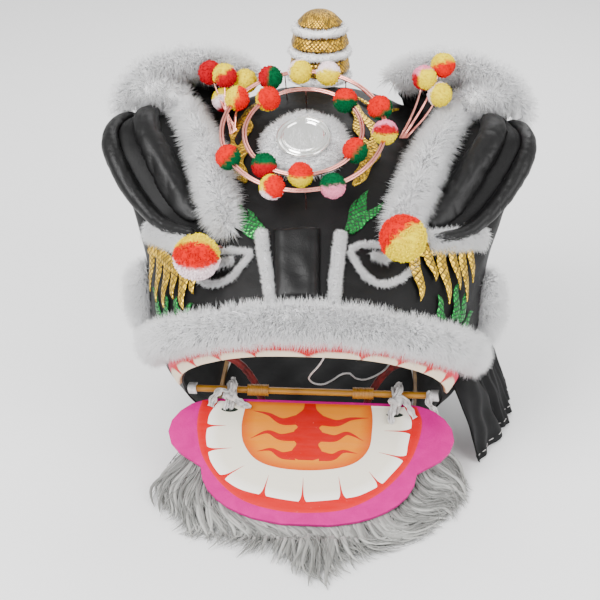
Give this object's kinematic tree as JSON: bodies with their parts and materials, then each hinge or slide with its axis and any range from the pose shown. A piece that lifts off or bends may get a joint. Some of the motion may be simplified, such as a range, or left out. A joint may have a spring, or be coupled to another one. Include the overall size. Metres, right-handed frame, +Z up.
{
  "type": "lion dance costume head",
  "caption": "Black lion dance costume head with white fur, horn, forehead mirror, pompoms and a hinged jaw board, standing on its base hoop with the mouth open.",
  "frame": {"origin": "middle of the footprint, on the floor", "axes": "+Z up, the face looks along -Y, +X is the side at the right of the picture"},
  "size_m": [0.6781, 0.7392, 0.6565],
  "materials": {
    "black_satin": "black satin and velvet cloth, slightly glossy",
    "white_fur": "white fur with a faint lilac shade",
    "grey_hair": "long silver grey wavy hair",
    "gold_sequin": "gold sequin cloth, glossy",
    "green_sequin": "green sequin cloth, glossy",
    "red_tape": "dark red tape wound round cane",
    "lip_cloth": "salmon red painted cloth with cream teeth",
    "bamboo": "varnished bamboo",
    "pink_board": "painted plywood: pink edge, red gums, cream teeth, orange tongue",
    "white_cloth": "white cotton tape and cord",
    "mirror_metal": "polished metal mirror",
    "pompom_yarn": "coloured yarn pompoms on copper wire"
  },
  "bodies": {
    "head": {"bar_loop_left": "white_cloth", "bar_loop_right": "white_cloth", "base_hoop": "bamboo", "big_pompom_left": "pompom_yarn", "big_pompom_right": "pompom_yarn", "brow_fur_left": "white_fur", "brow_fur_right": "white_fur", "cheek_flame_left": "green_sequin", "cheek_flame_right": "green_sequin", "cheek_fur_left": "white_fur", "cheek_fur_right": "white_fur", "crescent_left": "gold_sequin", "crescent_right": "gold_sequin", "ear_fur_left": "white_fur", "ear_fur_right": "white_fur", "ear_left": "black_satin", "ear_right": "black_satin", "eye_patch_fur_left": "white_fur", "eye_patch_fur_right": "white_fur", "forehead_flame_left": "green_sequin", "forehead_flame_right": "green_sequin", "gold_fringe_left": "gold_sequin", "gold_fringe_right": "gold_sequin", "head_shell": "black_satin", "horn": "gold_sequin", "horn_fur_base": "white_fur", "horn_fur_middle": "white_fur", "horn_fur_top": "white_fur", "lid_left": "black_satin", "lid_right": "black_satin", "lid_rim_left": "black_satin", "lid_rim_right": "black_satin", "mirror": "mirror_metal", "mirror_fur": "white_fur", "mouth_strut_left": "red_tape", "mouth_strut_right": "red_tape", "muzzle_fur": "white_fur", "neck_cloth": "black_satin", "neck_drape": "black_satin", "nose_bridge": "black_satin", "nose_strip_left": "white_fur", "nose_strip_right": "white_fur", "pompom_ring_inner": "pompom_yarn", "pompom_ring_outer": "pompom_yarn", "pompom_sprig_left": "pompom_yarn", "pompom_sprig_right": "pompom_yarn", "pull_string": "white_cloth", "under_eye_fur_left": "white_fur", "under_eye_fur_right": "white_fur", "upper_lip": "lip_cloth"},
    "jaw": {"jaw_board": "pink_board", "bamboo_bar": "bamboo", "bar_wrap_left": "bamboo", "bar_wrap_right": "bamboo", "tie_left": "white_cloth", "tie_right": "white_cloth", "beard": "grey_hair"}
  },
  "joints": [
    {"name": "jaw_hinge", "type": "hinge", "parent": "head", "child": "jaw", "pos_m": [0, -0.0464, 0.113], "axis": [-1, 0, 0], "range_deg": [0, 40]}
  ]
}
